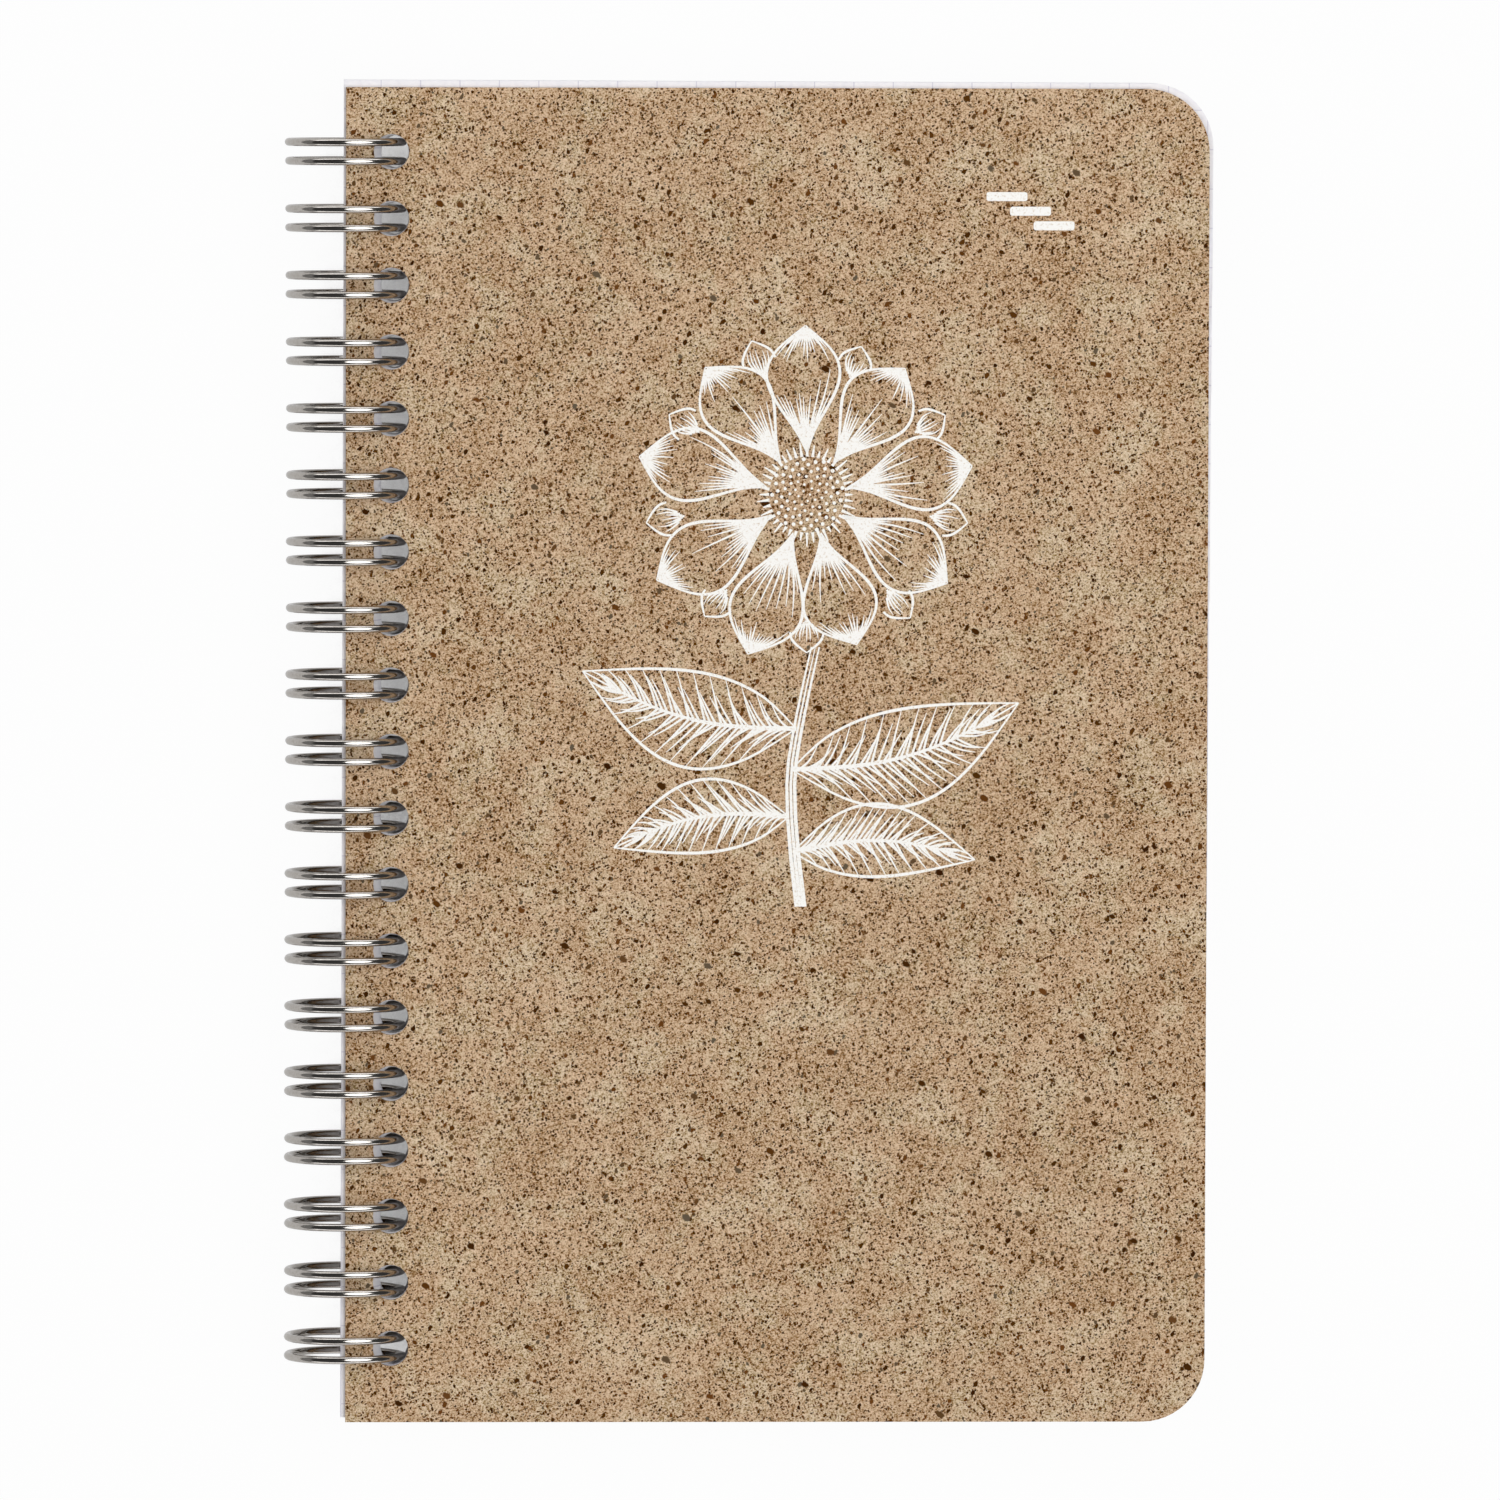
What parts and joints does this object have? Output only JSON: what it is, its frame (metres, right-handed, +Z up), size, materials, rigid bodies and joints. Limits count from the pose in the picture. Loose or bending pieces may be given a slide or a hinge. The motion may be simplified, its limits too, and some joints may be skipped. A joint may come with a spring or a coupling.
{
  "type": "address book",
  "caption": "Pocket address book with flecked kraft covers, stepped letter index and a twin-loop wire; covers and sections turn flat.",
  "frame": {"origin": "under the middle of the closed book, on the surface that it lies on", "axes": "+X from the spine to the fore edge, +Y towards the head, +Z up out of the front cover"},
  "size_m": [0.118, 0.1708, 0.0145],
  "materials": {
    "cover_board": "uncoated kraft board with dark husk flecks",
    "leaf_paper": "white offset paper with grey ruling",
    "binding_wire": "bright tinned steel wire"
  },
  "bodies": {
    "back_cover": {"back_cover": "cover_board"},
    "wire_binding": {"wire_binding": "binding_wire"},
    "section_yz": {"section_yz": "leaf_paper"},
    "section_wx": {"section_wx": "leaf_paper"},
    "section_uv": {"section_uv": "leaf_paper"},
    "section_st": {"section_st": "leaf_paper"},
    "section_qr": {"section_qr": "leaf_paper"},
    "section_op": {"section_op": "leaf_paper"},
    "section_mn": {"section_mn": "leaf_paper"},
    "section_kl": {"section_kl": "leaf_paper"},
    "section_ij": {"section_ij": "leaf_paper"},
    "section_gh": {"section_gh": "leaf_paper"},
    "section_ef": {"section_ef": "leaf_paper"},
    "section_cd": {"section_cd": "leaf_paper"},
    "section_ab": {"section_ab": "leaf_paper"},
    "front_cover": {"front_cover": "cover_board"}
  },
  "joints": [
    {"name": "wire_creep", "type": "hinge", "parent": "back_cover", "child": "wire_binding", "pos_m": [-0.05176, 0, 0.00725], "axis": [0, -1, 0], "range_deg": [-64, 17]},
    {"name": "turn_yz", "type": "hinge", "parent": "back_cover", "child": "section_yz", "pos_m": [-0.05176, 0, 0.00725], "axis": [0, -1, 0], "range_deg": [0, 180]},
    {"name": "turn_wx", "type": "hinge", "parent": "section_yz", "child": "section_wx", "pos_m": [-0.05176, 0, 0.00725], "axis": [0, -1, 0], "range_deg": [0, 180]},
    {"name": "turn_uv", "type": "hinge", "parent": "section_wx", "child": "section_uv", "pos_m": [-0.05176, 0, 0.00725], "axis": [0, -1, 0], "range_deg": [0, 180]},
    {"name": "turn_st", "type": "hinge", "parent": "section_uv", "child": "section_st", "pos_m": [-0.05176, 0, 0.00725], "axis": [0, -1, 0], "range_deg": [0, 180]},
    {"name": "turn_qr", "type": "hinge", "parent": "section_st", "child": "section_qr", "pos_m": [-0.05176, 0, 0.00725], "axis": [0, -1, 0], "range_deg": [0, 180]},
    {"name": "turn_op", "type": "hinge", "parent": "section_qr", "child": "section_op", "pos_m": [-0.05176, 0, 0.00725], "axis": [0, -1, 0], "range_deg": [0, 180]},
    {"name": "turn_mn", "type": "hinge", "parent": "section_op", "child": "section_mn", "pos_m": [-0.05176, 0, 0.00725], "axis": [0, -1, 0], "range_deg": [0, 180]},
    {"name": "turn_kl", "type": "hinge", "parent": "section_mn", "child": "section_kl", "pos_m": [-0.05176, 0, 0.00725], "axis": [0, -1, 0], "range_deg": [0, 180]},
    {"name": "turn_ij", "type": "hinge", "parent": "section_kl", "child": "section_ij", "pos_m": [-0.05176, 0, 0.00725], "axis": [0, -1, 0], "range_deg": [0, 180]},
    {"name": "turn_gh", "type": "hinge", "parent": "section_ij", "child": "section_gh", "pos_m": [-0.05176, 0, 0.00725], "axis": [0, -1, 0], "range_deg": [0, 180]},
    {"name": "turn_ef", "type": "hinge", "parent": "section_gh", "child": "section_ef", "pos_m": [-0.05176, 0, 0.00725], "axis": [0, -1, 0], "range_deg": [0, 180]},
    {"name": "turn_cd", "type": "hinge", "parent": "section_ef", "child": "section_cd", "pos_m": [-0.05176, 0, 0.00725], "axis": [0, -1, 0], "range_deg": [0, 180]},
    {"name": "turn_ab", "type": "hinge", "parent": "section_cd", "child": "section_ab", "pos_m": [-0.05176, 0, 0.00725], "axis": [0, -1, 0], "range_deg": [0, 180]},
    {"name": "turn_front_cover", "type": "hinge", "parent": "section_ab", "child": "front_cover", "pos_m": [-0.05176, 0, 0.00725], "axis": [0, -1, 0], "range_deg": [0, 180]}
  ]
}
